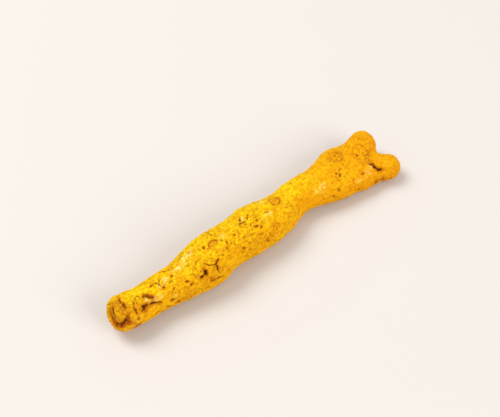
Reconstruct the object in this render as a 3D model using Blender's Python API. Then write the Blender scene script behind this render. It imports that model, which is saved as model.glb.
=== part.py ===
"""Turmeric root: one dried finger of a turmeric rhizome, forked near its growing end, lying on its belly.

The frame has +X from the broken end to the knobs, +Z up, and its origin on the surface that the root lies on,
under the middle of its box. Everything is in metres.
"""

import math

import bmesh
import bpy
from mathutils import Matrix, Vector

MM = 0.001

# The body, from its broken end to the tip of its own knob.
BODY_LENGTH = 72.3 * MM
BUTT_DIAMETER = 7.7 * MM
WAIST_DIAMETER = 6.8 * MM
CHEST_DIAMETER = 8.2 * MM
BELLY_DIAMETER = 10.2 * MM
MIDDLE_DIAMETER = 9.6 * MM
HIP_DIAMETER = 8.9 * MM
SHOULDER_DIAMETER = 7.5 * MM
STEM_DIAMETER = 6.6 * MM
NECK_DIAMETER = 5.6 * MM
KNOB_DIAMETER = 6.5 * MM

# The side branch, which leaves the body at the shoulder and then runs beside the stem,
# and the web of flesh between the two, which ends in a notch between their knobs.
BRANCH_LENGTH = 25.7 * MM
BRANCH_DIAMETER = 5.7 * MM
BRANCH_NECK_DIAMETER = 5.0 * MM
BRANCH_KNOB_DIAMETER = 6.5 * MM
BRANCH_SPREAD = 6.9 * MM
WEB_DIAMETER = 5.2 * MM
NOTCH_DEPTH = 2.0 * MM

# The swelling on the stem that a bud dropped off, on the side away from the branch.
BUD_DIAMETER = 5.2 * MM
BUD_LENGTH = 6.4 * MM
BUD_STANDS_OUT = 0.55 * MM
BUD_TURN = math.radians(37)

# The broken end: its rounded rim, and the flat break across it, which leans back and faces a little upwards.
BUTT_ROUNDING = 3.4 * MM
BREAK_DEPTH = 1.4 * MM
BREAK_LEAN = math.radians(32)
BREAK_TURN = math.radians(8)

# How far the resting spots are worn flat, and the unevenness that drying leaves.
REST_FLAT = 0.35 * MM
LUMP_HEIGHT = 0.6 * MM
LUMP_SPACING = 8.0 * MM

# How finely the rounded fingers are divided, and what their caps are welded within.
RING_SPACING = 1.1 * MM
DOME_STEPS = 5
DOME_TURN = math.radians(84)
CAP_WELD = 0.01 * MM
CUTTER_SIZE = 0.2

# Where the branch leaves the body, and how far the middles of these places lie to the left of the frame's X axis.
FORK_AT = 0.665 * BODY_LENGTH
FORK_SIDE = -1.1 * MM
KNOB_SIDE = 1.9 * MM
BRANCH_KNOB_SIDE = KNOB_SIDE - BRANCH_SPREAD

# Where the bud's swelling is, and where the stem lies there.
BUD_AT = 0.845 * BODY_LENGTH
BUD_STEM_SIDE = 1.0 * MM
BUD_STEM_UNDER = 1.3 * MM

# Each station is how far along the body it is, its middle's distance to the left, its diameter,
# and how high its underside is above the surface that the root lies on.
BODY_STATIONS = (
    (0.035 * BODY_LENGTH, -2.3 * MM, BUTT_DIAMETER, 1.0 * MM),
    (0.135 * BODY_LENGTH, -2.6 * MM, WAIST_DIAMETER, 1.0 * MM),
    (0.225 * BODY_LENGTH, -3.1 * MM, CHEST_DIAMETER, 0.5 * MM),
    (0.320 * BODY_LENGTH, -2.6 * MM, BELLY_DIAMETER, 0.0),
    (0.400 * BODY_LENGTH, -1.9 * MM, MIDDLE_DIAMETER, 0.1 * MM),
    (0.480 * BODY_LENGTH, -1.8 * MM, BELLY_DIAMETER, 0.0),
    (0.570 * BODY_LENGTH, -1.5 * MM, HIP_DIAMETER, 0.0),
    (FORK_AT, -0.1 * MM, SHOULDER_DIAMETER, 0.4 * MM),
    (0.760 * BODY_LENGTH, 0.1 * MM, STEM_DIAMETER, 1.0 * MM),
    (BUD_AT, BUD_STEM_SIDE, STEM_DIAMETER, BUD_STEM_UNDER),
    (0.908 * BODY_LENGTH, 1.4 * MM, NECK_DIAMETER, 1.6 * MM),
    (BODY_LENGTH - KNOB_DIAMETER / 2, KNOB_SIDE, KNOB_DIAMETER, 1.5 * MM),
)


def branch_stations():
    """The branch starts inside the shoulder, swings out, and ends in a knob beside the body's own."""
    swing = BRANCH_KNOB_SIDE - FORK_SIDE
    return (
        (FORK_AT, FORK_SIDE, BRANCH_DIAMETER, 1.4 * MM),
        (FORK_AT + 0.33 * BRANCH_LENGTH, FORK_SIDE + 0.40 * swing, BRANCH_DIAMETER, 0.8 * MM),
        (FORK_AT + 0.58 * BRANCH_LENGTH, FORK_SIDE + 0.86 * swing, BRANCH_DIAMETER, 0.2 * MM),
        (FORK_AT + 0.73 * BRANCH_LENGTH, FORK_SIDE + 0.84 * swing, BRANCH_NECK_DIAMETER, 0.2 * MM),
        (FORK_AT + BRANCH_LENGTH - BRANCH_KNOB_DIAMETER / 2, BRANCH_KNOB_SIDE, BRANCH_KNOB_DIAMETER, 0.0),
    )


def web_stations():
    """The web lies in the fork, half way from the stem to the branch, and ends behind the nearer knob's middle."""
    body_knob_at = BODY_LENGTH - KNOB_DIAMETER / 2
    branch_knob_at = FORK_AT + BRANCH_LENGTH - BRANCH_KNOB_DIAMETER / 2
    length = min(body_knob_at, branch_knob_at) - NOTCH_DEPTH - FORK_AT
    middle_at_knobs = (KNOB_SIDE + BRANCH_KNOB_SIDE) / 2
    swing = middle_at_knobs - FORK_SIDE
    return (
        (FORK_AT + 0.15 * length, FORK_SIDE + 0.30 * swing, WEB_DIAMETER, 1.0 * MM),
        (FORK_AT + 0.60 * length, FORK_SIDE + 0.80 * swing, WEB_DIAMETER, 1.0 * MM),
        (FORK_AT + length, middle_at_knobs, WEB_DIAMETER, 1.0 * MM),
    )


def smooth_row(rows, at):
    """A Catmull-Rom curve through rows of numbers: at 0 it is the first row, at 1 the next, and so on."""
    first = min(int(at), len(rows) - 2)
    t = at - first
    before = rows[max(first - 1, 0)]
    here, there = rows[first], rows[first + 1]
    after = rows[min(first + 2, len(rows) - 1)]
    return [
        b + 0.5 * t * (c - a + t * (2 * a - 5 * b + 4 * c - d + t * (3 * (b - c) + d - a)))
        for a, b, c, d in zip(before, here, there, after)
    ]


def route(stations):
    """The middle of a finger and its radius, in steps of about RING_SPACING, from the stations' own sizes."""
    rows = [
        (along, side, diameter / 2 + under - REST_FLAT, diameter / 2)
        for along, side, diameter, under in stations
    ]
    points = []
    for i in range(len(rows) - 1):
        steps = max(2, round((rows[i + 1][0] - rows[i][0]) / RING_SPACING))
        points += [smooth_row(rows, i + step / steps) for step in range(steps)]
    return points + [list(rows[-1])]


def dome(end, inner, depth):
    """The points that round off an end of a route: an ellipse's quarter, stopped just short of its tip."""
    outwards = (Vector(end[:3]) - Vector(inner[:3])).normalized()
    points = []
    for step in range(1, DOME_STEPS + 1):
        turn = DOME_TURN * step / DOME_STEPS
        middle = Vector(end[:3]) + outwards * depth * math.sin(turn)
        points.append([*middle, end[3] * math.cos(turn)])
    return points


def mesh_of_curve(curve_object, collection):
    """A mesh object in place of a curve object, with the curve's loose caps welded on."""
    graph = bpy.context.evaluated_depsgraph_get()
    mesh = bpy.data.meshes.new_from_object(curve_object.evaluated_get(graph))
    welder = bmesh.new()
    welder.from_mesh(mesh)
    bmesh.ops.remove_doubles(welder, verts=welder.verts, dist=CAP_WELD)
    welder.to_mesh(mesh)
    welder.free()
    name = curve_object.name
    place = curve_object.matrix_world.copy()
    bpy.data.objects.remove(curve_object)
    made = bpy.data.objects.new(name, mesh)
    made.matrix_world = place
    collection.objects.link(made)
    return made


def finger(name, points, collection):
    """A round tube whose thickness follows the route, uneven as a dried finger is."""
    curve = bpy.data.curves.new(name + "_route", "CURVE")
    curve.dimensions = "3D"
    curve.bevel_depth = 1.0  # so that a point's own radius is in metres
    curve.bevel_resolution = 5
    curve.use_fill_caps = True
    spline = curve.splines.new("POLY")
    spline.points.add(len(points) - 1)
    for point, (x, y, z, radius) in zip(spline.points, points):
        point.co = (x, y, z, 1.0)
        point.radius = radius
    curve_object = bpy.data.objects.new(name, curve)
    bpy.context.scene.collection.objects.link(curve_object)
    bpy.context.view_layer.update()
    made = mesh_of_curve(curve_object, collection)
    lumps = bpy.data.textures.new(name + "_lumps", "CLOUDS")
    lumps.noise_scale = LUMP_SPACING
    lumps.noise_depth = 1
    uneven = made.modifiers.new("lumps", "DISPLACE")
    uneven.texture = lumps
    uneven.texture_coords = "LOCAL"
    uneven.strength = LUMP_HEIGHT
    uneven.mid_level = 0.5
    return made


def helper_finger(name, points, collection):
    """A finger that is only there to be joined to the body."""
    made = finger(name, points, collection)
    made.hide_render = True
    made.display_type = "WIRE"
    return made


def cutter(name, place, outwards, collection):
    """A block that takes away everything beyond a plane, on the side that outwards points to."""
    bpy.ops.mesh.primitive_cube_add(size=CUTTER_SIZE)
    block = bpy.context.object
    block.name = name
    turn = Vector(outwards).to_track_quat("Z", "Y").to_matrix().to_4x4()
    block.matrix_world = Matrix.Translation(place) @ turn @ Matrix.Translation((0, 0, CUTTER_SIZE / 2))
    block.hide_render = True
    block.display_type = "WIRE"
    for holder in list(block.users_collection):
        holder.objects.unlink(block)
    collection.objects.link(block)
    return block


def boolean(target, other, operation):
    modifier = target.modifiers.new(operation.lower() + " " + other.name, "BOOLEAN")
    modifier.operation = operation
    modifier.object = other


def dried_skin():
    """Matt golden-yellow rind, dusted with its own powder."""
    material = bpy.data.materials.new("dried_turmeric")
    material.use_nodes = True
    shader = material.node_tree.nodes["Principled BSDF"]
    shader.inputs["Base Color"].default_value = (0.89, 0.46, 0.012, 1.0)
    shader.inputs["Roughness"].default_value = 0.8
    shader.inputs["Metallic"].default_value = 0.0
    return material


def body_with_knob(collection):
    """The main finger, rounded at both ends."""
    middle = route(BODY_STATIONS)
    butt = list(reversed(dome(middle[0], middle[1], BUTT_ROUNDING)))
    return finger("turmeric_root", butt + middle + dome(middle[-1], middle[-2], KNOB_DIAMETER / 2), collection)


def branch_with_knob(collection):
    """The side branch, whose first end stays inside the shoulder."""
    middle = route(branch_stations())
    return helper_finger("branch", middle + dome(middle[-1], middle[-2], BRANCH_KNOB_DIAMETER / 2), collection)


def web(collection):
    """The flesh in the fork, rounded where it ends between the knobs."""
    middle = route(web_stations())
    return helper_finger("web", middle + dome(middle[-1], middle[-2], WEB_DIAMETER / 5), collection)


def bud(collection):
    """The swelling under the bud's scar, set into the stem's upper side and rounded at both ends."""
    inwards = STEM_DIAMETER / 2 + BUD_STANDS_OUT - BUD_DIAMETER / 2
    side = BUD_STEM_SIDE + inwards * math.cos(BUD_TURN)
    height = STEM_DIAMETER / 2 + BUD_STEM_UNDER - REST_FLAT + inwards * math.sin(BUD_TURN)
    straight = (BUD_LENGTH - BUD_DIAMETER) / 2
    ends = [[BUD_AT + reach, side, height, BUD_DIAMETER / 2] for reach in (-straight, straight)]
    near_end = list(reversed(dome(ends[0], ends[1], BUD_DIAMETER / 2)))
    return helper_finger("bud", near_end + ends + dome(ends[1], ends[0], BUD_DIAMETER / 2), collection)


def break_cutter(collection):
    """The plane of the break, which leaves the rounded rim below and behind it."""
    middle = route(BODY_STATIONS)[0]
    faces = Vector((-math.cos(BREAK_LEAN), -math.sin(BREAK_TURN), math.sin(BREAK_LEAN))).normalized()
    reach = BUTT_ROUNDING * math.cos(BREAK_LEAN) + BUTT_DIAMETER / 2 * math.sin(BREAK_LEAN) ** 2
    return cutter("break", Vector(middle[:3]) + faces * (reach - BREAK_DEPTH), faces, collection)


def centre_on_origin(root, holder):
    """Moves everything sideways until the origin is under the middle of the root's box."""
    graph = bpy.context.evaluated_depsgraph_get()
    corners = [Vector(vertex.co) for vertex in root.evaluated_get(graph).data.vertices]
    for axis in (0, 1):
        reach = [corner[axis] for corner in corners]
        holder.location[axis] = -(min(reach) + max(reach)) / 2


def build():
    for leftover in list(bpy.data.objects):
        bpy.data.objects.remove(leftover)
    parts = bpy.data.collections.new("turmeric_root")
    helpers = bpy.data.collections.new("cutters")
    for collection in (parts, helpers):
        bpy.context.scene.collection.children.link(collection)

    root = body_with_knob(parts)
    branch = branch_with_knob(helpers)
    filling = web(helpers)
    swelling = bud(helpers)
    break_plane = break_cutter(helpers)
    table = cutter("table", Vector((0, 0, 0)), Vector((0, 0, -1)), helpers)
    boolean(root, branch, "UNION")
    boolean(root, filling, "UNION")
    boolean(root, swelling, "UNION")
    boolean(root, break_plane, "DIFFERENCE")
    boolean(root, table, "DIFFERENCE")
    root.data.materials.append(dried_skin())
    root.data.shade_smooth()

    holder = bpy.data.objects.new("resting_place", None)
    helpers.objects.link(holder)
    for piece in (root, branch, filling, swelling, break_plane, table):
        piece.parent = holder
    bpy.context.view_layer.update()
    centre_on_origin(root, holder)


build()
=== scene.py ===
"""One dried turmeric finger, forked at its growing end, lying on a pale table."""

import math

import bmesh
import bpy
import numpy as np
from mathutils import Matrix, Vector, noise


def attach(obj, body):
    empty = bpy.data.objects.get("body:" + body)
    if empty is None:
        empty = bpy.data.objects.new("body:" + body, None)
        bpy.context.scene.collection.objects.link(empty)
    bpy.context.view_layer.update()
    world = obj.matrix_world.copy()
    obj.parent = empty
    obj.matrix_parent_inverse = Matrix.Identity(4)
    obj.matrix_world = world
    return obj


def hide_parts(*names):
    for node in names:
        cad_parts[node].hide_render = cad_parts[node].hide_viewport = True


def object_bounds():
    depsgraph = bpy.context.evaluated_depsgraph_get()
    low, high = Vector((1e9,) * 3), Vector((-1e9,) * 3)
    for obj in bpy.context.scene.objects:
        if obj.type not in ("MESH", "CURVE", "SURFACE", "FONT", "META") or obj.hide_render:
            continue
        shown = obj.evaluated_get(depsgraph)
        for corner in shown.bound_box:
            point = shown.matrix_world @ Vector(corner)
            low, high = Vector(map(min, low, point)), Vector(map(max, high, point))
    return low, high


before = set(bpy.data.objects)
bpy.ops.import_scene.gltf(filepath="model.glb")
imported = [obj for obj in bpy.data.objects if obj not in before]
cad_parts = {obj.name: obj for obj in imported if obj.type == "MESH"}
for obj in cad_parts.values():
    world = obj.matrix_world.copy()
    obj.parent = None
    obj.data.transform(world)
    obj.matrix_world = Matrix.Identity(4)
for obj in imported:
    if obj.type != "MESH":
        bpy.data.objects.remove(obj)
cad_low, cad_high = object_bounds()


# The camera. It looks down on the root from over its broken end, with a short telephoto lens, and it aims
# a little beyond the root's middle, so that the root lies low in the view.

MM = 0.001
CAMERA_AZIMUTH = math.radians(-38.7)
CAMERA_ELEVATION = math.radians(50.0)
CAMERA_DISTANCE = 248.6 * MM
CAMERA_LENS = 85.0      # in mm, as is the sensor's width
CAMERA_SENSOR = 36.0
CAMERA_CLIP = 10.0 * MM
AIM_FROM_MIDDLE = Vector((2.5, 4.8, -0.9)) * MM

root_middle = (Vector(cad_low) + Vector(cad_high)) / 2
towards_camera = Vector((
    math.sin(CAMERA_AZIMUTH) * math.cos(CAMERA_ELEVATION),
    -math.cos(CAMERA_AZIMUTH) * math.cos(CAMERA_ELEVATION),
    math.sin(CAMERA_ELEVATION),
))
camera_data = bpy.data.cameras.new("camera")
camera_data.lens = CAMERA_LENS
camera_data.sensor_width = CAMERA_SENSOR
camera_data.clip_start = CAMERA_CLIP
camera = bpy.data.objects.new("camera", camera_data)
camera.location = root_middle + AIM_FROM_MIDDLE + towards_camera * CAMERA_DISTANCE
camera.rotation_euler = towards_camera.to_track_quat("Z", "Y").to_euler()
bpy.context.scene.collection.objects.link(camera)
bpy.context.scene.camera = camera


# The root's flesh. A finger of the rhizome, boiled and then dried until it shrank, so its form is soft all
# over, and its fork is one broad fan of flesh that parts only at the two knobs. It is made from the solid
# that rests on the table, with that solid's edges and seams softened.

REMESH_SIZE = 0.69 * MM
SAME_CORNER = 0.002 * MM    # corners nearer than this are one
SOFTENING = 14              # passes
SWELL_BACK = 0.04 * MM      # gives back what the softening shrank
FINER = 2                   # subdivisions, so that the marks have points of mesh to be cut with


def node(tree, kind, inputs=None, **settings):
    """Adds a node with its settings, and sets each of its inputs to a value or links it from a socket."""
    made = tree.nodes.new(kind)
    for name, value in settings.items():
        setattr(made, name, value)
    for key, value in (inputs or {}).items():
        if isinstance(value, bpy.types.NodeSocket):
            tree.links.new(value, made.inputs[key])
        else:
            made.inputs[key].default_value = value
    return made


def geometry_tree(name, sizes):
    """A new Geometry Nodes tree with a geometry in and out, and a named input for each size."""
    tree = bpy.data.node_groups.new(name, "GeometryNodeTree")
    tree.interface.new_socket("Geometry", in_out="INPUT", socket_type="NodeSocketGeometry")
    tree.interface.new_socket("Geometry", in_out="OUTPUT", socket_type="NodeSocketGeometry")
    for label, kind in sizes:
        tree.interface.new_socket(label, in_out="INPUT", socket_type=kind)
    return tree


def grown(thing, tree, sizes):
    """The object's mesh after this tree with these sizes, as a plain mesh, with the modifier taken off."""
    modifier = thing.modifiers.new(tree.name, "NODES")
    modifier.node_group = tree
    for item in tree.interface.items_tree:
        if item.in_out == "INPUT" and item.name in sizes:
            modifier[item.identifier] = sizes[item.name]
    graph = bpy.context.evaluated_depsgraph_get()
    mesh = bpy.data.meshes.new_from_object(thing.evaluated_get(graph))
    thing.modifiers.remove(modifier)
    return mesh


flesh = bmesh.new()
flesh.from_mesh(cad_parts["turmeric_root"].data)
bmesh.ops.remove_doubles(flesh, verts=flesh.verts, dist=SAME_CORNER)
root_mesh = bpy.data.meshes.new("dried_turmeric_finger")
flesh.to_mesh(root_mesh)
flesh.free()
root = bpy.data.objects.new("dried_turmeric_finger", root_mesh)
bpy.context.scene.collection.objects.link(root)

remesh = root.modifiers.new("remesh", "REMESH")
remesh.mode = "VOXEL"
remesh.voxel_size = REMESH_SIZE
bpy.context.view_layer.update()
root.data = bpy.data.meshes.new_from_object(root.evaluated_get(bpy.context.evaluated_depsgraph_get()))
root.modifiers.remove(remesh)

# The softening blurs the places of the points, and gives back a blurred share of what that took off, so that
# the flesh keeps its thickness. The rind's own tree, further down, gives the flesh its material.
soften = geometry_tree("soften_flesh", (("Passes", "NodeSocketInt"), ("Swell", "NodeSocketFloat")))
size_of = node(soften, "NodeGroupInput").outputs
place = node(soften, "GeometryNodeInputPosition").outputs[0]
blurred = node(soften, "GeometryNodeBlurAttribute", {"Value": place, "Iterations": size_of["Passes"]},
               data_type="FLOAT_VECTOR").outputs[0]
lost = node(soften, "ShaderNodeVectorMath", {0: place, 1: blurred}, operation="SUBTRACT").outputs[0]
given_back = node(soften, "GeometryNodeBlurAttribute", {"Value": lost, "Iterations": size_of["Passes"]},
                  data_type="FLOAT_VECTOR").outputs[0]
rounded = node(soften, "ShaderNodeVectorMath", {0: blurred, 1: given_back}, operation="ADD").outputs[0]
shape = node(soften, "GeometryNodeSetPosition",
             {"Geometry": size_of["Geometry"], "Position": rounded}).outputs[0]
outwards = node(soften, "GeometryNodeInputNormal").outputs[0]
swell = node(soften, "ShaderNodeVectorMath", {0: outwards, "Scale": size_of["Swell"]},
             operation="SCALE").outputs[0]
shape = node(soften, "GeometryNodeSetPosition", {"Geometry": shape, "Offset": swell}).outputs[0]
shape = node(soften, "GeometryNodeSubdivisionSurface", {"Mesh": shape, "Level": FINER}).outputs[0]
node(soften, "NodeGroupOutput", {"Geometry": shape})
root.data = grown(root, soften, {"Passes": SOFTENING, "Swell": SWELL_BACK})
print("flesh", len(root.data.vertices), "points", len(root.data.polygons), "faces")


# The marks on the rind that can be told apart: the scars that buds and the break left, the holes and cracks
# that drying opened, and the places where handling wore the skin to paler flesh. Each is cut into the flesh
# at its own place, in millimetres in the root's frame, and the nearest point of the skin is its middle.

LIP_HEIGHT = 0.05 * MM      # how far the skin stands up round a hole or a crack
BUD_RIM = 0.10 * MM         # the same round a bud's scar, which is as deep inside it
FLAKE_HEIGHT = 0.06 * MM    # how thick the flakes of a worn patch are
PRICK_DEPTH = 0.08 * MM     # how deep the specks of a speckled patch are
SEED_STEPS = (3.7, 1.3, 7.1)    # how far apart in the noise two seeds are

points = np.empty((len(root.data.vertices), 3), np.float32)
root.data.vertices.foreach_get("co", points.reshape(-1))
normals = np.empty((len(root.data.vertices), 3), np.float32)
root.data.vertex_normals.foreach_get("vector", normals.reshape(-1))
rise = np.zeros(len(points))      # how far the skin stands out here, in metres
hole = np.zeros(len(points))      # 1 where it is a dark hole or crack
scar = np.zeros(len(points))      # 1 where it is a browned scar
worn = np.zeros(len(points))      # 1 where it is worn pale
deep_orange_and_shade = np.zeros(len(points))     # 1 where it is painted deep orange; along the furrows that is painted shade


def ease(low, high, values):
    """0 below low and 1 above high, with a smooth step between them."""
    share = np.clip((values - low) / (high - low), 0.0, 1.0)
    return share * share * (3.0 - 2.0 * share)


def ragged(which, size, seed):
    """Smooth noise from about -1 to 1 at these points, with lumps of this size in metres."""
    move = Vector([seed * step for step in SEED_STEPS])
    return np.array([noise.noise(Vector(points[i]) / size + move) for i in which])


def nearest_to(place):
    """Which point of the skin is nearest to a place in mm."""
    return np.argmin(((points - np.array(place) * MM) ** 2).sum(1))


def skin_near(place, reach, turn=0.0):
    """The points near a place in mm, and how far each lies from it along and across a direction.

    The direction is along the finger, turned by this many degrees anticlockwise as seen from outside.
    """
    middle = nearest_to(place)
    out = Vector(normals[middle])
    along = (Vector((1, 0, 0)) - out * out.x).normalized()
    along.rotate(Matrix.Rotation(math.radians(turn), 3, out))
    across = out.cross(along)
    offsets = points - points[middle]
    which = np.nonzero((offsets ** 2).sum(1) < reach ** 2)[0]
    which = which[normals[which] @ np.array(out) > 0.1]     # only the skin that faces the same way
    offsets = offsets[which]
    return which, offsets @ np.array(along), offsets @ np.array(across)


def oval(place, length, width, turn):
    """The points round an oval with these sizes in mm, and how far out each lies: 1 is the oval's edge."""
    which, along, across = skin_near(place, (length + width) * MM, turn)
    return which, np.hypot(along / (length / 2 * MM), across / (width / 2 * MM))


def pit(place, length, width, turn, depth, seed):
    """A hole with a ragged edge and a low lip, the darker the wider it is. Lengths are in mm."""
    which, far = oval(place, length, width, turn)
    far += 0.6 * ragged(which, 0.5 * MM, seed) + 0.3 * ragged(which, 0.22 * MM, seed + 1)
    inside = 1.0 - ease(0.65, 1.05, far)
    darkness = min(1.0, 0.3 + 0.7 * width)
    rise[which] -= depth * MM * inside
    rise[which] += LIP_HEIGHT * np.exp(-((far - 1.5) / 0.35) ** 2)
    hole[which] = np.maximum(hole[which], darkness * inside)
    scar[which] = np.maximum(scar[which], 0.7 * (1.0 - ease(0.9, 2.3, far)))


def line_on_skin(places, wander, seed):
    """The points round a line through places in mm, how far each is from it, and how far along it."""
    stops = [points[nearest_to(place)].astype(float) for place in places]
    lengths = [np.linalg.norm(b - a) for a, b in zip(stops, stops[1:])]
    middle = np.mean(stops, axis=0)
    which = np.nonzero(((points - middle) ** 2).sum(1) < (sum(lengths) * 0.6 + 3 * MM) ** 2)[0]
    drift = np.stack([ragged(which, 0.9 * MM, seed + axis) for axis in range(3)], axis=1)
    here = points[which] + drift * wander * MM
    nearest = np.full(len(which), 1.0)
    share = np.zeros(len(which))
    done = 0.0
    for a, b, length in zip(stops, stops[1:], lengths):
        along = np.clip(((here - a) @ (b - a)) / length ** 2, 0.0, 1.0)
        gap = np.linalg.norm(here - (a + along[:, None] * (b - a)), axis=1)
        closer = gap < nearest
        nearest[closer] = gap[closer]
        share[closer] = (done + along[closer] * length) / sum(lengths)
        done += length
    return which, nearest, share


def crack(places, width, depth, seed):
    """A thin split that runs through places in mm, widest in its middle."""
    which, nearest, share = line_on_skin(places, 0.3, seed)
    half = width / 2 * MM * (0.55 + 0.45 * np.sin(math.pi * np.clip(share, 0.05, 0.95)))
    half = np.maximum(half * (1.0 + 0.5 * ragged(which, 0.5 * MM, seed + 5)), 0.02 * MM)
    inside = 1.0 - ease(0.5, 1.1, nearest / half)
    rise[which] -= depth * MM * inside
    rise[which] += LIP_HEIGHT * np.exp(-((nearest / half - 1.8) / 0.6) ** 2)
    hole[which] = np.maximum(hole[which], inside)
    scar[which] = np.maximum(scar[which], 0.45 * (1.0 - ease(1.0, 3.5, nearest / half)))


def furrow(places, width, depth, valley_shade, seed):
    """A broad shallow valley through places in mm, painted deep orange along its line as painted shade."""
    which, nearest, share = line_on_skin(places, 0.5, seed)
    valley = np.exp(-(nearest / (width / 2 * MM)) ** 2) * ease(0.0, 0.2, share)
    rise[which] -= depth * MM * valley
    deep_orange_and_shade[which] = np.maximum(deep_orange_and_shade[which], valley_shade * valley)


def bud_scar(place, length, width, turn, open_side, strength, seed):
    """The oval where a bud dropped off: a low dish in a rim, brown in a ring that is open on one side."""
    which, along, across = skin_near(place, (length + width) * MM, turn)
    along = along / (length / 2 * MM)
    across = across / (width / 2 * MM)
    far = np.hypot(along, across) + 0.20 * ragged(which, 0.7 * MM, seed)
    facing = np.cos(np.arctan2(across, along) - math.radians(open_side))
    ring = np.exp(-((far - 0.88) / 0.17) ** 2) * (0.35 + 0.65 * ease(0.9, -0.2, facing))
    speckle = ease(0.0, 0.5, ragged(which, 0.28 * MM, seed + 2))
    rise[which] += BUD_RIM * np.exp(-((far - 1.15) / 0.2) ** 2)
    rise[which] -= BUD_RIM * (1.0 - ease(0.5, 1.0, far)) + BUD_RIM * ring
    hole[which] = np.maximum(hole[which], strength * ring * (0.1 + 0.35 * speckle))
    browned = np.maximum((0.25 + 0.45 * speckle) * (1.0 - ease(0.75, 1.25, far)), 0.9 * ring)
    scar[which] = np.maximum(scar[which], strength * browned)


def worn_patch(place, length, width, turn, seed):
    """Where the skin is rubbed through to pale fibrous flesh, in flakes. Lengths are in mm."""
    which, far = oval(place, length, width, turn)
    flakes = ragged(which, 0.7 * MM, seed) + 0.6 * ragged(which, 0.3 * MM, seed + 1)
    share = (1.0 - ease(0.35, 1.15, far)) * ease(-0.35, 0.35, flakes)
    rise[which] += FLAKE_HEIGHT * share * flakes
    worn[which] = np.maximum(worn[which], share)


def swelling(place, reach, height):
    """Where the flesh stands out softly, or lies in where the height is below zero. Sizes are in mm."""
    far = np.linalg.norm(points - points[nearest_to(place)], axis=1) / (reach * MM)
    rise[:] += height * MM * np.exp(-far ** 2)


def speckled_patch(place, length, width, turn, seed):
    """Where the skin is pricked all over with small brown specks. Lengths are in mm."""
    which, far = oval(place, length, width, turn)
    pricks = ease(0.08, 0.36, ragged(which, 0.38 * MM, seed)) * (1.0 - ease(0.5, 1.1, far))
    rise[which] -= PRICK_DEPTH * pricks
    hole[which] = np.maximum(hole[which], 0.14 * pricks)
    scar[which] = np.maximum(scar[which], 0.9 * pricks)
    deep_orange_and_shade[which] = np.maximum(deep_orange_and_shade[which], 0.5 * (1.0 - ease(0.5, 1.3, far)))


SWELLINGS = (
    # place in mm, reach, height
    ((-37.0, 1.0, 5.0), 3.0, -0.40),
    ((-34.0, -3.5, 1.5), 3.0, -0.15),
    ((-3.5, 2.5, 9.0), 3.0, -0.25),
    ((35.0, -2.0, 5.0), 2.6, -0.70),
    ((26.0, -5.0, 1.5), 3.5, -0.50),
    ((34.5, 1.0, 4.0), 2.2, 0.35),
)
for place, reach, height in SWELLINGS:
    swelling(place, reach, height)

PITS = (
    # place in mm, length, width, turn, depth
    ((-28.5, -2.5, 7.5), 2.0, 0.7, -45, 0.35),
    ((-29.5, -2.0, 7.5), 0.5, 0.5, 0, 0.25),
    ((-30.5, -3.5, 6.5), 1.6, 1.2, 20, 0.45),
    ((-16.5, -5.0, 7.5), 1.2, 0.6, 85, 0.45),
    ((-17.5, -5.0, 7.0), 0.8, 0.6, 0, 0.40),
    ((-4.0, 0.0, 9.5), 0.9, 0.35, 60, 0.25),
    ((-2.0, 0.0, 10.0), 0.8, 0.2, 40, 0.15),
    ((-2.5, -0.5, 10.0), 0.4, 0.3, 0, 0.15),
    ((-7.0, -2.0, 9.0), 0.5, 0.4, 0, 0.20),
    ((-1.0, -2.0, 9.5), 0.45, 0.4, 0, 0.20),
    ((-2.0, -3.0, 9.0), 0.9, 0.35, -20, 0.20),
    ((-1.0, -3.5, 8.5), 0.6, 0.3, 30, 0.15),
    ((-9.5, -2.5, 9.0), 0.9, 0.25, 80, 0.20),
    ((-10.0, -3.5, 9.0), 0.5, 0.3, 80, 0.20),
    ((-6.5, -4.5, 7.0), 0.6, 0.35, -40, 0.20),
    ((-14.0, -1.0, 9.5), 0.6, 0.5, 60, 0.20),
    ((-20.5, -4.0, 7.0), 0.6, 0.4, -30, 0.25),
    ((-20.0, -5.0, 6.5), 0.8, 0.3, 40, 0.25),
    ((-22.5, -1.5, 8.0), 0.6, 0.35, 30, 0.20),
    ((-25.0, -2.5, 7.5), 0.6, 0.4, 40, 0.25),
    ((-24.5, -4.5, 5.0), 0.7, 0.4, 0, 0.25),
    ((-23.5, -5.0, 3.5), 0.8, 0.45, 10, 0.25),
    ((-25.5, -4.5, 3.5), 1.1, 0.3, -45, 0.25),
    ((-27.0, -4.0, 2.5), 0.7, 0.4, 0, 0.25),
    ((-28.5, -4.5, 3.5), 1.1, 0.4, 15, 0.25),
    ((-33.0, -5.0, 3.5), 1.4, 0.8, 15, 0.35),
    ((22.0, -1.5, 6.0), 0.7, 0.35, 40, 0.20),
    ((21.5, -0.5, 6.0), 0.45, 0.3, 60, 0.20),
    ((20.0, -3.5, 5.0), 0.6, 0.3, -60, 0.20),
    ((18.5, -3.5, 4.0), 0.5, 0.4, 60, 0.20),
    ((24.5, -5.5, 3.0), 0.5, 0.4, 0, 0.20),
    ((27.0, -3.5, 5.5), 0.8, 0.5, 40, 0.20),
    ((24.5, -3.5, 5.5), 0.7, 0.2, 30, 0.10),
    ((30.5, -2.5, 5.0), 1.1, 0.6, -70, 0.35),
    ((31.0, -4.5, 4.5), 1.2, 0.7, -20, 0.35),
    ((29.5, -5.5, 2.0), 0.9, 0.6, 0, 0.25),
    ((31.5, -5.5, 2.0), 0.6, 0.4, 20, 0.20),
    ((33.0, -6.0, 2.0), 0.6, 0.3, 0, 0.20),
    # on the far side
    ((-25.5, 3.5, 3.5), 1.2, 0.6, 20, 0.30),
    ((-14.5, 4.5, 5.5), 0.9, 0.5, -40, 0.25),
    ((-13.5, 5.0, 4.5), 0.6, 0.4, 30, 0.20),
    ((-3.0, 4.5, 3.5), 0.9, 0.4, 60, 0.20),
    ((8.0, 4.0, 5.0), 0.7, 0.4, 0, 0.20),
    ((19.0, 4.0, 3.5), 0.6, 0.4, -30, 0.20),
)
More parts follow.
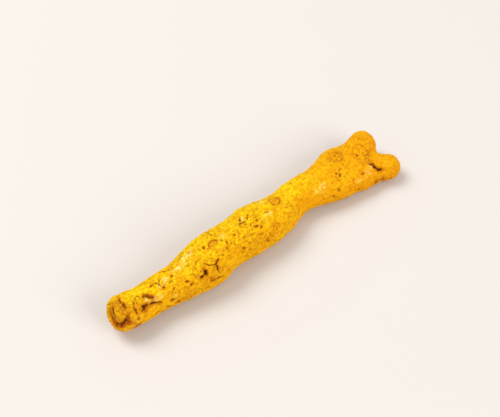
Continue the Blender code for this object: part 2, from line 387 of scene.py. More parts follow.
for number, (place, length, width, turn, depth) in enumerate(PITS):
    pit(place, length, width, turn, depth, 11 + 4 * number)

CRACKS = (
    # places in mm, width, depth
    (((-30.0, -3.5, 6.5), (-28.0, -3.5, 6.0), (-27.0, -4.0, 5.5)), 0.45, 0.25),
    (((-32.0, -2.0, 8.0), (-32.5, -3.0, 7.5), (-32.5, -3.5, 7.0), (-32.5, -4.5, 5.5)), 0.36, 0.25),
    (((-16.5, -4.0, 8.0), (-16.5, -5.0, 7.5), (-17.5, -5.0, 7.0)), 0.50, 0.35),
    (((-13.0, -4.5, 8.5), (-14.0, -5.0, 8.0), (-14.0, -5.5, 7.0), (-14.0, -5.5, 6.5)), 0.35, 0.30),
    (((-14.0, -5.0, 8.0), (-15.0, -4.5, 8.5), (-16.0, -3.5, 8.5)), 0.22, 0.18),
    (((-16.0, -6.0, 5.0), (-14.5, -6.0, 5.0), (-13.0, -6.0, 4.5)), 0.35, 0.25),
    (((-5.0, -0.5, 9.5), (-3.5, -1.0, 9.5)), 0.22, 0.12),
    (((-8.0, -3.5, 8.0), (-7.0, -4.0, 8.0)), 0.14, 0.10),
    (((30.5, -2.5, 5.0), (30.5, -3.5, 4.5), (31.0, -4.5, 4.5)), 0.50, 0.40),
    (((-26.5, 0.0, 7.0), (-25.5, -1.0, 7.5), (-25.0, -2.0, 7.5)), 0.20, 0.15),
    (((-31.5, -2.5, 7.5), (-31.5, -3.5, 7.0)), 0.24, 0.15),
    (((-21.0, 3.5, 6.5), (-20.0, 4.0, 5.0), (-20.5, 4.0, 3.5)), 0.34, 0.25),
)
for number, (places, width, depth) in enumerate(CRACKS):
    crack(places, width, depth, 201 + 7 * number)

BUD_SCARS = (
    # place in mm, length, width, turn, the side that its ring is open on, strength
    ((5.5, 0.5, 8.5), 3.0, 2.5, 0, 130, 0.90),
    ((24.0, 2.5, 7.5), 3.8, 3.0, -10, 160, 0.50),
    ((-12.0, -1.5, 10.0), 2.3, 1.6, 10, -90, 1.00),
    ((32.5, 3.0, 7.5), 2.6, 1.2, -30, 60, 0.60),
    ((30.0, 5.0, 3.0), 2.4, 2.0, 15, 0, 0.60),
    ((-8.5, 3.5, 4.5), 2.6, 2.1, -10, 180, 0.60),
    ((12.0, 3.5, 3.5), 2.2, 1.8, 20, 90, 0.60),
)
for number, (place, length, width, turn, open_side, strength) in enumerate(BUD_SCARS):
    bud_scar(place, length, width, turn, open_side, strength, 301 + 5 * number)

WORN_PATCHES = (
    # place in mm, length, width, turn
    ((-27.0, -3.5, 6.5), 3.4, 1.8, 10),
    ((-29.0, -3.0, 7.0), 2.2, 1.6, 0),
    ((-24.5, -1.5, 7.5), 3.2, 1.7, 10),
    ((-24.0, -4.5, 5.5), 1.4, 1.0, 30),
    ((-26.5, -3.0, 6.5), 1.2, 0.8, 0),
    ((-18.0, -0.5, 8.5), 5.0, 2.2, 15),
    ((-21.0, -1.0, 8.0), 3.5, 1.5, 0),
    ((-9.0, -1.0, 9.5), 2.6, 1.4, 0),
    ((-3.0, 0.0, 10.0), 3.0, 1.2, 10),
    ((1.5, -2.0, 9.0), 4.0, 0.9, 5),
    ((3.0, 1.5, 8.5), 2.6, 1.3, 10),
    ((16.5, -1.5, 6.0), 3.6, 2.2, 10),
    ((29.0, -3.5, 5.0), 4.6, 2.1, 20),
    ((25.5, -4.0, 5.0), 2.6, 1.6, 15),
    ((-34.5, -1.5, 8.0), 1.2, 0.9, 90),
    ((-23.0, 3.5, 5.5), 4.0, 1.7, 10),
    ((0.0, 4.5, 5.5), 3.6, 1.4, -5),
    ((18.0, 4.0, 5.0), 3.2, 1.5, 10),
)
for number, (place, length, width, turn) in enumerate(WORN_PATCHES):
    worn_patch(place, length, width, turn, 401 + 3 * number)

SPECKLED_PATCHES = (
    # place in mm, length, width, turn
    ((30.0, 0.5, 6.0), 6.0, 5.5, 0),
    ((22.0, -1.0, 6.0), 5.5, 3.4, 0),
    ((24.0, 2.5, 7.5), 4.5, 3.5, 0),
    ((30.5, -5.5, 2.5), 4.0, 1.4, -15),
    ((2.0, -4.5, 7.0), 3.0, 2.6, 0),
    ((-0.5, -5.0, 5.5), 4.0, 2.0, 0),
    ((-15.5, -5.5, 5.5), 3.6, 1.8, 0),
)
for number, (place, length, width, turn) in enumerate(SPECKLED_PATCHES):
    speckled_patch(place, length, width, turn, 451 + 3 * number)

FURROWS = (
    # places in mm, width, depth, how strong its painted shade is; a depth below zero is a swelling
    (((16.0, -1.5, 6.0), (20.0, -1.5, 6.0), (25.0, -1.0, 6.0), (29.0, -0.5, 5.5)), 4.0, -0.30, 0.4),
    (((23.0, -3.5, 5.0), (26.5, -3.0, 5.5), (28.5, -2.5, 5.0), (30.5, -1.5, 5.0), (32.5, 0.0, 4.5)),
     1.5, 0.50, 0.8),
    (((9.5, -3.0, 7.0), (12.5, -3.0, 6.0), (15.5, -3.5, 4.5)), 3.0, 0.20, 0.6),
)
for number, (places, width, depth, valley_shade) in enumerate(FURROWS):
    furrow(places, width, depth, valley_shade, 501 + 4 * number)

# The break, where the finger was snapped off the mother bulb: a dish in a thin pale rim of rind, with a low
# mound of flesh in it. A dark furrow runs round the mound, widest on its lower side, and spots show where
# fibres tore.
BREAK_MIDDLE = (-35.5, -1.5, 6.5)       # in mm, as are the next two
BREAK_ACROSS = 6.6
BREAK_HIGH = 6.2
BREAK_REACH = 5.0 * MM
BREAK_RIM = 0.12 * MM
BREAK_DISH = 0.50 * MM
BREAK_MOUND = 0.38 * MM
BREAK_FURROW = 0.25 * MM
BREAK_CRUMBS = 0.12 * MM
FURROW_FACES = math.radians(235)
which, along, across = skin_near(BREAK_MIDDLE, BREAK_REACH)
along = along / (BREAK_HIGH / 2 * MM)
across = across / (BREAK_ACROSS / 2 * MM)
far = np.hypot(along, across) + 0.10 * ragged(which, 1.3 * MM, 601) + 0.05 * ragged(which, 0.4 * MM, 602)
dish = 1.0 - ease(0.70, 1.0, far)
mound = np.exp(-(((along + 0.10) / 0.45) ** 2 + (across / 0.50) ** 2))
below = ease(-0.1, 0.75, np.cos(np.arctan2(across, along) - FURROW_FACES))
crumbled = ease(-0.5, 0.5, ragged(which, 0.55 * MM, 603))
torn = (0.35 + 0.65 * below) * np.exp(-((far - 0.74) / (0.10 + 0.10 * below)) ** 2)
rise[which] += BREAK_RIM * np.exp(-((far - 1.05) / 0.10) ** 2) - BREAK_DISH * dish
rise[which] += BREAK_MOUND * mound * dish - BREAK_FURROW * torn + BREAK_CRUMBS * (crumbled - 0.5) * dish
scar[which] = np.maximum(scar[which], dish * (0.35 + 0.35 * crumbled) * (1.0 - 0.75 * mound))
scar[which] = np.maximum(scar[which], ease(0.15, 0.6, torn))
hole[which] = np.maximum(hole[which], 0.9 * ease(0.35, 0.95, torn * (0.45 + 0.65 * crumbled)))
worn[which] = np.maximum(worn[which], 0.12 * np.exp(-((far - 1.06) / 0.08) ** 2) * below)
deep_orange_and_shade[which] = np.maximum(deep_orange_and_shade[which], 0.5 * dish)
BREAK_SPOTS = (
    # place in mm, length, turn
    ((-34.0, -2.0, 8.5), 1.4, 90),
    ((-36.0, -0.5, 6.5), 2.0, 60),
    ((-34.0, 0.0, 8.5), 1.2, 70),
)
for number, (place, length, turn) in enumerate(BREAK_SPOTS):
    pit(place, length, 0.4 * length, turn, 0.22, 611 + 4 * number)

# The rind and its finish read these as attributes of the flesh.
for label, values in (("rise", rise), ("hole", hole), ("scar", scar), ("worn", worn), ("deep_orange_and_shade", deep_orange_and_shade)):
    root.data.attributes.new(label, "FLOAT", "POINT").data.foreach_set("value", values.astype(np.float32))


# The rind's own texture. It shrank more round the finger than along it, so it is drawn into fine lengthwise
# wrinkles over low lumps, crossed by the faint rings that leaf scales left. It is crumbly all over, pricked
# with short holes where rootlets were, and split here and there between them.

RIND_SIZES = (
    ("Lump Size", 6.5 * MM), ("Lump Height", 0.22 * MM),
    ("Wrinkle Spacing", 1.0 * MM), ("Wrinkle Depth", 0.13 * MM),
    ("Crumb Size", 0.80 * MM), ("Crumb Height", 0.15 * MM),
    ("Ring Spacing", 15.0 * MM), ("Ring Depth", 0.05 * MM),
    ("Hole Spacing", 0.85 * MM), ("Hole Size", 0.34 * MM), ("Hole Depth", 0.20 * MM),
    ("Split Spacing", 3.2 * MM), ("Split Width", 0.16 * MM), ("Split Depth", 0.14 * MM),
    ("Tick Size", 1.3 * MM), ("Tick Width", 0.028), ("Tick Depth", 0.14 * MM),
    ("Floor Height", 0.0),
)
RIND_SEED = 7
USUAL_NOISE = (0.28, 0.72)          # nearly all of a noise lies between these
SWAY_SIZE = 3.5 * MM                # wrinkles, rings and splits sway with lumps of this size,
SWAY_REACH = 2.2 * MM               # and by up to about half of this
WRINKLE_STRETCH = (0.16, 1.0, 1.0)
HOLE_STRETCH = (0.45, 1.0, 1.0)
RING_HALF = 0.045                   # half a ring's width, as a share of the way from one ring to the next

# Each kind of mark comes and goes over patches of its own size. Its gate is what its marks are multiplied by
# in the barest patch and in the fullest, and below zero there are none.
RING_PATCHES = 5.0 * MM
RING_GATE = (-0.6, 1.2)
HOLE_PATCHES = 5.0 * MM
HOLE_GATE = (-0.70, 1.15)
SPLIT_PATCHES = 3.0 * MM
SPLIT_GATE = (-1.7, 0.9)
TICK_PATCHES = 1.1 * MM
TICK_GATE = (-3.0, 2.2)
SMOOTH_BEYOND = 12.0 * MM           # the skin is younger from here to the growing tips,
SMOOTHED = 0.9                      # and this comes off each gate but the rings'

HOLES_A_SQUARE_METRE = 9.0e5        # at the most, before their spacing thins them
SMALLEST_HOLE = 0.03 * MM
HOLE_SIZE_POWER = 2.2               # the higher it is, the fewer of them are large
HOLE_TURN = 1.4                     # in radians, either way
HOLE_BOTTOM = 0.3                   # the share of a hole that is at its full depth
HOLE_EDGE_SIZE = 0.35 * MM
HOLE_EDGE_REACH = 0.07 * MM
HOLE_DARKNESS = 0.7
TICK_DARKNESS = 0.5
SPLIT_SHIFT = (2.0 * MM, 0.7 * MM, 1.6 * MM)    # keeps the walls between cells from lying flat in the skin
TICK_SHIFT = (0.1, 0.2, 0.3)        # in metres, to a part of the noise that has nothing of the first
RELIEF_SCALE = 5.0 / MM             # for the finish, which takes 0.2 mm of fine height as 1
# the way the painted light in the finish comes from, close to the key lamp's direction
PAINTED_LIGHT_FROM = (-0.15, 0.45, 0.88)

rind = geometry_tree("dried_rind", [(label, "NodeSocketFloat") for label, size in RIND_SIZES]
                     + [("Seed", "NodeSocketInt"), ("Rind", "NodeSocketMaterial")])
size_of = node(rind, "NodeGroupInput").outputs
place = node(rind, "GeometryNodeInputPosition").outputs[0]
outwards = node(rind, "GeometryNodeInputNormal").outputs[0]
per_metre = {
    label: node(rind, "ShaderNodeMath", {0: 1.0, 1: size_of[label]}, operation="DIVIDE").outputs[0]
    for label in ("Lump Size", "Wrinkle Spacing", "Crumb Size", "Split Spacing", "Tick Size")
}


def noise_field(vector, scale, detail, low, high):
    """Noise at this many lumps a metre, stretched to run from low to high."""
    made = node(rind, "ShaderNodeTexNoise", {"Vector": vector, "Scale": scale, "Detail": detail})
    return node(rind, "ShaderNodeMapRange",
                {"Value": made.outputs[0], "From Min": USUAL_NOISE[0], "From Max": USUAL_NOISE[1],
                 "To Min": low, "To Max": high}).outputs[0]


sway = node(rind, "ShaderNodeTexNoise", {"Vector": place, "Scale": 1 / SWAY_SIZE, "Detail": 2.0})
sway = node(rind, "ShaderNodeVectorMath", {0: sway.outputs["Color"], 1: (0.5, 0.5, 0.5)},
            operation="SUBTRACT").outputs[0]
swayed = node(rind, "ShaderNodeVectorMath", {0: sway, 1: (SWAY_REACH,) * 3, 2: place},
              operation="MULTIPLY_ADD").outputs[0]

lumps = noise_field(place, per_metre["Lump Size"], 1.0, -1.0, 1.0)
lumps = node(rind, "ShaderNodeMath", {0: lumps, 1: size_of["Lump Height"]}, operation="MULTIPLY").outputs[0]

lengthwise = node(rind, "ShaderNodeVectorMath", {0: swayed, 1: WRINKLE_STRETCH},
                  operation="MULTIPLY").outputs[0]
wrinkles = noise_field(lengthwise, per_metre["Wrinkle Spacing"], 1.0, -1.0, 1.0)
wrinkles = node(rind, "ShaderNodeMath", {0: wrinkles}, operation="ABSOLUTE").outputs[0]
wrinkles = node(rind, "ShaderNodeMath", {0: wrinkles, 1: size_of["Wrinkle Depth"]},
                operation="MULTIPLY").outputs[0]

crumbs = noise_field(place, per_metre["Crumb Size"], 3.0, -1.0, 1.0)
crumbs = node(rind, "ShaderNodeMath", {0: crumbs, 1: size_of["Crumb Height"]},
              operation="MULTIPLY").outputs[0]

along_x = node(rind, "ShaderNodeSeparateXYZ", {0: swayed}).outputs["X"]
rings = node(rind, "ShaderNodeMath", {0: along_x, 1: size_of["Ring Spacing"]},
             operation="DIVIDE").outputs[0]
rings = node(rind, "ShaderNodeMath", {0: rings, 1: 0.5, 2: 0.0}, operation="PINGPONG").outputs[0]
rings = node(rind, "ShaderNodeMapRange",
             {"Value": rings, "From Min": 0.0, "From Max": RING_HALF, "To Min": 1.0, "To Max": 0.0},
             interpolation_type="SMOOTHSTEP").outputs[0]
ring_gate = noise_field(place, 1 / RING_PATCHES, 1.0, *RING_GATE)
rings = node(rind, "ShaderNodeMath", {0: rings, 1: ring_gate},
             operation="MULTIPLY", use_clamp=True).outputs[0]

smoother = node(rind, "ShaderNodeMapRange",
                {"Value": along_x, "From Min": 0.0, "From Max": SMOOTH_BEYOND,
                 "To Min": 0.0, "To Max": SMOOTHED}).outputs[0]

# Holes: each point of the skin looks for the nearest seeded point, and lies in its hole if near enough.
seeds = node(rind, "GeometryNodeDistributePointsOnFaces",
             {"Mesh": size_of["Geometry"], "Distance Min": size_of["Hole Spacing"],
              "Density Max": HOLES_A_SQUARE_METRE, "Seed": size_of["Seed"]},
             distribute_method="POISSON").outputs["Points"]
nearest = node(rind, "GeometryNodeSampleNearest", {"Geometry": seeds}).outputs[0]
own_place = node(rind, "GeometryNodeSampleIndex", {"Geometry": seeds, "Value": place, "Index": nearest},
                 data_type="FLOAT_VECTOR").outputs[0]
own_size = node(rind, "FunctionNodeRandomValue", {2: 0.0, 3: 1.0, "Seed": 3}).outputs[1]
own_size = node(rind, "GeometryNodeSampleIndex",
                {"Geometry": seeds, "Value": own_size, "Index": nearest}).outputs[0]
own_turn = node(rind, "FunctionNodeRandomValue", {2: -HOLE_TURN, 3: HOLE_TURN, "Seed": 4}).outputs[1]
own_turn = node(rind, "GeometryNodeSampleIndex",
                {"Geometry": seeds, "Value": own_turn, "Index": nearest}).outputs[0]
from_hole = node(rind, "ShaderNodeVectorMath", {0: place, 1: own_place}, operation="SUBTRACT").outputs[0]
from_hole = node(rind, "ShaderNodeVectorRotate",
                 {"Vector": from_hole, "Axis": outwards, "Angle": own_turn}).outputs[0]
from_hole = node(rind, "ShaderNodeVectorMath", {0: from_hole, 1: HOLE_STRETCH},
                 operation="MULTIPLY").outputs[0]
from_hole = node(rind, "ShaderNodeVectorMath", {0: from_hole}, operation="LENGTH").outputs["Value"]
edge = noise_field(place, 1 / HOLE_EDGE_SIZE, 1.0, -HOLE_EDGE_REACH, HOLE_EDGE_REACH)
from_hole = node(rind, "ShaderNodeMath", {0: from_hole, 1: edge}, operation="ADD").outputs[0]
hole_gate = noise_field(place, 1 / HOLE_PATCHES, 2.0, *HOLE_GATE)
hole_gate = node(rind, "ShaderNodeMath", {0: hole_gate, 1: smoother}, operation="SUBTRACT").outputs[0]
reach = node(rind, "ShaderNodeMath", {0: own_size, 1: HOLE_SIZE_POWER}, operation="POWER").outputs[0]
reach = node(rind, "ShaderNodeMath", {0: reach, 1: hole_gate},
             operation="MULTIPLY", use_clamp=True).outputs[0]
reach = node(rind, "ShaderNodeMath", {0: reach, 1: size_of["Hole Size"]}, operation="MULTIPLY").outputs[0]
reach = node(rind, "ShaderNodeMath", {0: reach, 1: SMALLEST_HOLE}, operation="ADD").outputs[0]
deepest = node(rind, "ShaderNodeMath", {0: reach, 1: HOLE_BOTTOM}, operation="MULTIPLY").outputs[0]
holes = node(rind, "ShaderNodeMapRange",
             {"Value": from_hole, "From Min": deepest, "From Max": reach, "To Min": 1.0, "To Max": 0.0},
             interpolation_type="SMOOTHSTEP").outputs[0]

# Splits: the walls between cells of the skin, here and there.
split_place = node(rind, "ShaderNodeVectorMath", {0: swayed, 1: SPLIT_SHIFT}, operation="ADD").outputs[0]
splits = node(rind, "ShaderNodeTexVoronoi", {"Vector": split_place, "Scale": per_metre["Split Spacing"]},
              feature="DISTANCE_TO_EDGE").outputs["Distance"]
split_half = node(rind, "ShaderNodeMath", {0: size_of["Split Width"], 1: size_of["Split Spacing"]},
                  operation="DIVIDE").outputs[0]
splits = node(rind, "ShaderNodeMapRange",
              {"Value": splits, "From Min": 0.0, "From Max": split_half, "To Min": 1.0, "To Max": 0.0},
              interpolation_type="SMOOTHSTEP").outputs[0]
split_gate = noise_field(place, 1 / SPLIT_PATCHES, 1.0, *SPLIT_GATE)
split_gate = node(rind, "ShaderNodeMath", {0: split_gate, 1: smoother}, operation="SUBTRACT").outputs[0]
splits = node(rind, "ShaderNodeMath", {0: splits, 1: split_gate},
              operation="MULTIPLY", use_clamp=True).outputs[0]

# Ticks: short curved cuts, each a stretch of the line where one noise is level, where another one is high.
level = node(rind, "ShaderNodeTexNoise", {"Vector": place, "Scale": per_metre["Tick Size"], "Detail": 1.5})
level = node(rind, "ShaderNodeMath", {0: level.outputs[0], 1: 0.5}, operation="SUBTRACT").outputs[0]
level = node(rind, "ShaderNodeMath", {0: level}, operation="ABSOLUTE").outputs[0]
ticks = node(rind, "ShaderNodeMapRange",
             {"Value": level, "From Min": 0.0, "From Max": size_of["Tick Width"],
              "To Min": 1.0, "To Max": 0.0},
             interpolation_type="SMOOTHSTEP").outputs[0]
aside = node(rind, "ShaderNodeVectorMath", {0: place, 1: TICK_SHIFT}, operation="ADD").outputs[0]
tick_gate = noise_field(aside, 1 / TICK_PATCHES, 1.0, *TICK_GATE)
tick_gate = node(rind, "ShaderNodeMath", {0: tick_gate, 1: smoother}, operation="SUBTRACT").outputs[0]
ticks = node(rind, "ShaderNodeMath", {0: ticks, 1: tick_gate},
             operation="MULTIPLY", use_clamp=True).outputs[0]

# All of it together. A scar keeps less of the wrinkles, and what would go through the table is lifted to it.
carved, dark, scarred = (
    node(rind, "GeometryNodeInputNamedAttribute", {"Name": label}, data_type="FLOAT").outputs[0]
    for label in ("rise", "hole", "scar")
)
whole = node(rind, "ShaderNodeMath", {0: 1.0, 1: scarred}, operation="SUBTRACT", use_clamp=True).outputs[0]
fine = node(rind, "ShaderNodeMath", {0: wrinkles, 1: crumbs}, operation="ADD").outputs[0]
relief = node(rind, "ShaderNodeMath", {0: fine, 1: RELIEF_SCALE}, operation="MULTIPLY").outputs[0]
pricked = node(rind, "ShaderNodeMath", {0: holes, 1: HOLE_DARKNESS}, operation="MULTIPLY").outputs[0]
dark = node(rind, "ShaderNodeMath", {0: dark, 1: pricked}, operation="MAXIMUM").outputs[0]
dark = node(rind, "ShaderNodeMath", {0: ticks, 1: TICK_DARKNESS, 2: dark},
            operation="MULTIPLY_ADD", use_clamp=True).outputs[0]
# How squarely the skin faces up and to the left, towards the key lamp; the finish paints lighter yellow
# there as painted light.
painted_light_side = node(rind, "ShaderNodeVectorMath", {0: outwards, 1: PAINTED_LIGHT_FROM},
               operation="DOT_PRODUCT").outputs["Value"]
height = node(rind, "ShaderNodeMath", {0: fine, 1: whole, 2: lumps}, operation="MULTIPLY_ADD").outputs[0]
height = node(rind, "ShaderNodeMath", {0: height, 1: carved}, operation="ADD").outputs[0]
for mask, depth in ((holes, "Hole Depth"), (splits, "Split Depth"), (ticks, "Tick Depth"),
                    (rings, "Ring Depth")):
    cut = node(rind, "ShaderNodeMath", {0: mask, 1: size_of[depth]}, operation="MULTIPLY").outputs[0]
    height = node(rind, "ShaderNodeMath", {0: height, 1: cut}, operation="SUBTRACT").outputs[0]
step = node(rind, "ShaderNodeVectorMath", {0: outwards, "Scale": height}, operation="SCALE").outputs[0]

shape = size_of["Geometry"]
for label, values in (("hole", dark), ("split", splits), ("relief", relief), ("painted_light_side", painted_light_side)):
    shape = node(rind, "GeometryNodeStoreNamedAttribute",
                 {"Geometry": shape, "Name": label, "Value": values},
                 data_type="FLOAT", domain="POINT").outputs[0]
shape = node(rind, "GeometryNodeSetPosition", {"Geometry": shape, "Offset": step}).outputs[0]
lowest = node(rind, "ShaderNodeCombineXYZ", {"X": -1.0, "Y": -1.0, "Z": size_of["Floor Height"]}).outputs[0]
lifted = node(rind, "ShaderNodeVectorMath", {0: place, 1: lowest}, operation="MAXIMUM").outputs[0]
shape = node(rind, "GeometryNodeSetPosition", {"Geometry": shape, "Position": lifted}).outputs[0]
shape = node(rind, "GeometryNodeRealizeInstances", {"Geometry": shape}).outputs[0]
shape = node(rind, "GeometryNodeSetMaterial", {"Geometry": shape, "Material": size_of["Rind"]}).outputs[0]
node(rind, "NodeGroupOutput", {"Geometry": shape})


# The finish: the papery cork skin of dried turmeric, unpolished, dusted with its own yellow starch. That
# gives the eye a matt, grainy surface with no gloss. Painted shade makes it deep orange in what lies low,
# and painted light makes it lighter yellow on the side that faces the key lamp.

DUST_AND_LIT_YELLOW = "#ECCF0E"
RIND_ORANGE = "#EDB008"
DEEP_ORANGE = "#CA7E06"
TIP_AND_SHADE_ORANGE = "#DC8804"
WORN_FLESH = "#F4DE84"
SCAR_BROWN = "#AC5A0A"
SPLIT_BROWN = "#7A3E06"
HOLE_BROWN = "#3A1A04"
SPECK_BROWN = "#A8560A"
DRIFT_SIZE = 9.0 * MM
MOTTLING_SIZE = 2.4 * MM
GRAIN_SIZE = 0.48 * MM
FIBRE_SPACING = 0.22 * MM
FIBRE_STRETCH = (0.18, 1.0, 1.0)
SPECK_SIZE = 0.55 * MM
SPECK_PATCHES = 4.0 * MM
TIPS_FROM = 7.0 * MM        # the skin turns to the tips' deep orange from here,
TIPS_TO = 30.0 * MM         # and has turned by here

# How much of each shows at the most.
MOTTLING_SHARE = 0.45
DUST_RUBBED_OFF = 0.15
DRIFT_SHARE = 0.3
HOLLOW_SHADE_SHARE = 0.55
GRAIN_SHARE = 0.52
TIP_SHARE = 0.7
UNDERLAY_AND_SHADE_SHARE = 0.75
SPLIT_SHARE = 0.6
HOLE_SHARE = 0.9

BUMP_HEIGHT = 0.10 * MM
BUMP_STRENGTH = 0.8
GRAIN_BUMP = 0.6
FIBRE_BUMP = 0.4
ROUGHEST = 0.85             # where there is the least dust
SMOOTHEST = 0.68
GLOSS_LEFT = 0.05           # of the usual 0.5, because the dust scatters nearly all of it


def linear(hex_colour):
    """An sRGB hex colour as linear RGBA."""
    parts = [int(hex_colour[i:i + 2], 16) / 255 for i in (1, 3, 5)]
    return tuple(c / 12.92 if c <= 0.04045 else ((c + 0.055) / 1.055) ** 2.4 for c in parts) + (1.0,)


dried_rind = bpy.data.materials.new("dried_turmeric_rind")
dried_rind.use_nodes = True
skin = dried_rind.node_tree
skin.nodes.clear()
here = node(skin, "ShaderNodeTexCoord").outputs["Object"]
marked = {
    label: node(skin, "ShaderNodeAttribute", attribute_name=label).outputs["Fac"]
    for label in ("deep_orange_and_shade", "scar", "split", "hole", "worn", "relief", "painted_light_side")
}


def skin_noise(size, detail, low, high, vector=here):
    """Noise with lumps of this size in metres, run from 0 to 1 between these levels."""
    made = node(skin, "ShaderNodeTexNoise", {"Vector": vector, "Scale": 1 / size, "Detail": detail})
    return node(skin, "ShaderNodeMapRange",
                {"Value": made.outputs[0], "From Min": low, "From Max": high}).outputs[0]


# Drifts of deeper and lighter yellow over centimetres, mottling over millimetres, and the dust's grain. The
# lighter yellow is also painted light: strongest on the side that faces up and to the left, towards the key
# lamp.
drift = skin_noise(DRIFT_SIZE, 1.0, 0.35, 0.65)
mottling = skin_noise(MOTTLING_SIZE, 3.0, 0.34, 0.66)
grain = skin_noise(GRAIN_SIZE, 3.0, 0.32, 0.68)
dusted_and_lit = node(skin, "ShaderNodeMapRange",
              {"Value": marked["painted_light_side"], "From Min": 0.1, "From Max": 0.9}).outputs[0]
dusted_and_lit = node(skin, "ShaderNodeMath", {0: mottling, 1: MOTTLING_SHARE, 2: dusted_and_lit},
              operation="MULTIPLY_ADD").outputs[0]
dusted_and_lit = node(skin, "ShaderNodeMath", {0: dusted_and_lit, 1: DUST_RUBBED_OFF},
              operation="SUBTRACT", use_clamp=True).outputs[0]
deepened = node(skin, "ShaderNodeMath", {0: drift, 1: DRIFT_SHARE}, operation="MULTIPLY").outputs[0]

# What lies low in the fine relief is painted deep orange: painted shade in its hollows.
hollow_shade = node(skin, "ShaderNodeMapRange",
                 {"Value": marked["relief"], "From Min": 0.45, "From Max": -0.15}).outputs[0]
hollow_shade = node(skin, "ShaderNodeMath", {0: hollow_shade, 1: HOLLOW_SHADE_SHARE},
                 operation="MULTIPLY").outputs[0]
grainy = node(skin, "ShaderNodeMapRange",
              {"Value": grain, "To Min": GRAIN_SHARE, "To Max": 0.0}).outputs[0]

# Fibres show in the worn patches as short lengthwise strokes.
stretched = node(skin, "ShaderNodeMapping", {"Vector": here, "Scale": FIBRE_STRETCH}).outputs[0]
fibres = skin_noise(FIBRE_SPACING, 2.0, 0.38, 0.58, stretched)
paled = node(skin, "ShaderNodeMath", {0: marked["worn"], 1: fibres}, operation="MULTIPLY").outputs[0]

# The growing tips and the skin round each mark are painted a deeper orange, and the furrows get painted
# shade in it.
underlay_and_shade = node(skin, "ShaderNodeSeparateXYZ", {0: here}).outputs["X"]
underlay_and_shade = node(skin, "ShaderNodeMapRange",
            {"Value": underlay_and_shade, "From Min": TIPS_FROM, "From Max": TIPS_TO, "To Max": TIP_SHARE},
            interpolation_type="SMOOTHSTEP").outputs[0]
for label in ("deep_orange_and_shade", "scar", "split", "hole"):
    underlay_and_shade = node(skin, "ShaderNodeMath", {0: underlay_and_shade, 1: marked[label]}, operation="MAXIMUM").outputs[0]
underlay_and_shade = node(skin, "ShaderNodeMath", {0: underlay_and_shade, 1: UNDERLAY_AND_SHADE_SHARE}, operation="MULTIPLY").outputs[0]

# Specks of dirt are caught in the skin, and splits and holes let a little of the skin's colour through.
specks = skin_noise(SPECK_SIZE, 2.0, 0.62, 0.70)
speck_gate = skin_noise(SPECK_PATCHES, 1.0, 0.38, 0.60)
specks = node(skin, "ShaderNodeMath", {0: specks, 1: speck_gate}, operation="MULTIPLY").outputs[0]
split = node(skin, "ShaderNodeMath", {0: marked["split"], 1: SPLIT_SHARE}, operation="MULTIPLY").outputs[0]
holed = node(skin, "ShaderNodeMath", {0: marked["hole"], 1: HOLE_SHARE}, operation="MULTIPLY").outputs[0]

# Each colour is laid over those before it, by its own share.
colour = linear(RIND_ORANGE)
for hex_colour, share in (
        (DUST_AND_LIT_YELLOW, dusted_and_lit),
        (RIND_ORANGE, deepened),
        (DEEP_ORANGE, hollow_shade),
        (DEEP_ORANGE, grainy),
        (WORN_FLESH, paled),
        (TIP_AND_SHADE_ORANGE, underlay_and_shade),
        (SPECK_BROWN, specks),
        (SCAR_BROWN, marked["scar"]),
        (SPLIT_BROWN, split),
        (HOLE_BROWN, holed),
):
    colour = node(skin, "ShaderNodeMix", {0: share, 6: colour, 7: linear(hex_colour)},
                  data_type="RGBA").outputs[2]

# The dust's grain and the fibres are too fine for the mesh, so they only tilt the light.
bump = node(skin, "ShaderNodeMath", {0: grain, 1: GRAIN_BUMP}, operation="MULTIPLY").outputs[0]
bump = node(skin, "ShaderNodeMath", {0: fibres, 1: FIBRE_BUMP, 2: bump}, operation="MULTIPLY_ADD").outputs[0]
bump = node(skin, "ShaderNodeBump",
            {"Strength": BUMP_STRENGTH, "Distance": BUMP_HEIGHT, "Height": bump}).outputs[0]
roughness = node(skin, "ShaderNodeMapRange",
                 {"Value": mottling, "To Min": ROUGHEST, "To Max": SMOOTHEST}).outputs[0]
surface = node(skin, "ShaderNodeBsdfPrincipled",
               {"Base Color": colour, "Roughness": roughness, "Normal": bump,
                "Specular IOR Level": GLOSS_LEFT})
node(skin, "ShaderNodeOutputMaterial", {"Surface": surface.outputs[0]})

root.data = grown(root, rind, {**dict(RIND_SIZES), "Seed": RIND_SEED, "Rind": dried_rind})
for polygon in root.data.polygons:
    polygon.use_smooth = True
print("rind", len(root.data.vertices), "points", len(root.data.polygons), "faces")

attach(root, "root")
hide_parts("turmeric_root")


# What it lies on: a wide board of matt white laminate, plain, so that it reads as a clean table under soft
# light.

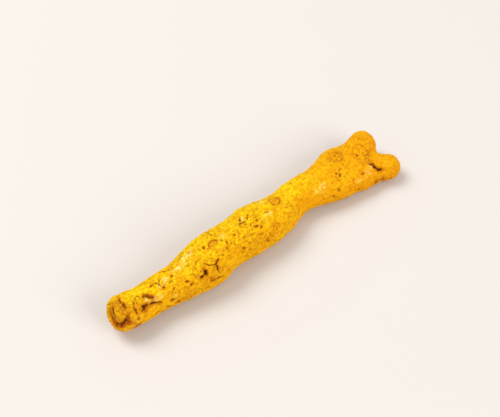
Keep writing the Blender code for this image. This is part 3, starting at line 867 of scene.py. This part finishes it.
TABLE_RADIUS = 1.2
TABLE_WHITE = "#D2CCC6"
TABLE_ROUGHNESS = 0.75
TABLE_GLOSS = 0.2

table_shape = bmesh.new()
bmesh.ops.create_circle(table_shape, cap_ends=True, segments=96, radius=TABLE_RADIUS)
table_mesh = bpy.data.meshes.new("table")
table_shape.to_mesh(table_mesh)
table_shape.free()
table = bpy.data.objects.new("table", table_mesh)
bpy.context.scene.collection.objects.link(table)
laminate = bpy.data.materials.new("matt_white_laminate")
laminate.use_nodes = True
board = laminate.node_tree
board.nodes.clear()
board_surface = node(board, "ShaderNodeBsdfPrincipled",
                     {"Base Color": linear(TABLE_WHITE), "Roughness": TABLE_ROUGHNESS,
                      "Specular IOR Level": TABLE_GLOSS})
node(board, "ShaderNodeOutputMaterial", {"Surface": board_surface.outputs[0]})
table_mesh.materials.append(laminate)


# The light: an even white room, with a large soft lamp above and beyond the root to its left, and a broader
# one in front that is nearly as bright, so that both sides of the root are lit.

LAMPS = (
    # name, direction from the root, distance, width, watts
    ("soft_key", (-0.30, 0.55, 0.95), 0.9, 0.60, 6.0),
    ("front_fill", (0.25, -0.95, 0.60), 1.1, 0.80, 7.1),
)
ROOM_WHITE = "#FFFFFF"
ROOM_STRENGTH = 0.64

for name, direction, distance, width, watts in LAMPS:
    towards = Vector(direction).normalized()
    lamp = bpy.data.lights.new(name, "AREA")
    lamp.shape = "DISK"
    lamp.size = width
    lamp.energy = watts
    lamp_object = bpy.data.objects.new(name, lamp)
    lamp_object.location = root_middle + towards * distance
    lamp_object.rotation_euler = towards.to_track_quat("Z", "Y").to_euler()
    bpy.context.scene.collection.objects.link(lamp_object)

world = bpy.data.worlds.new("white_room")
world.use_nodes = True
world.node_tree.nodes.clear()
room = node(world.node_tree, "ShaderNodeBackground",
            {"Color": linear(ROOM_WHITE), "Strength": ROOM_STRENGTH})
node(world.node_tree, "ShaderNodeOutputWorld", {"Surface": room.outputs[0]})
bpy.context.scene.world = world
bpy.context.scene.view_settings.view_transform = "Standard"
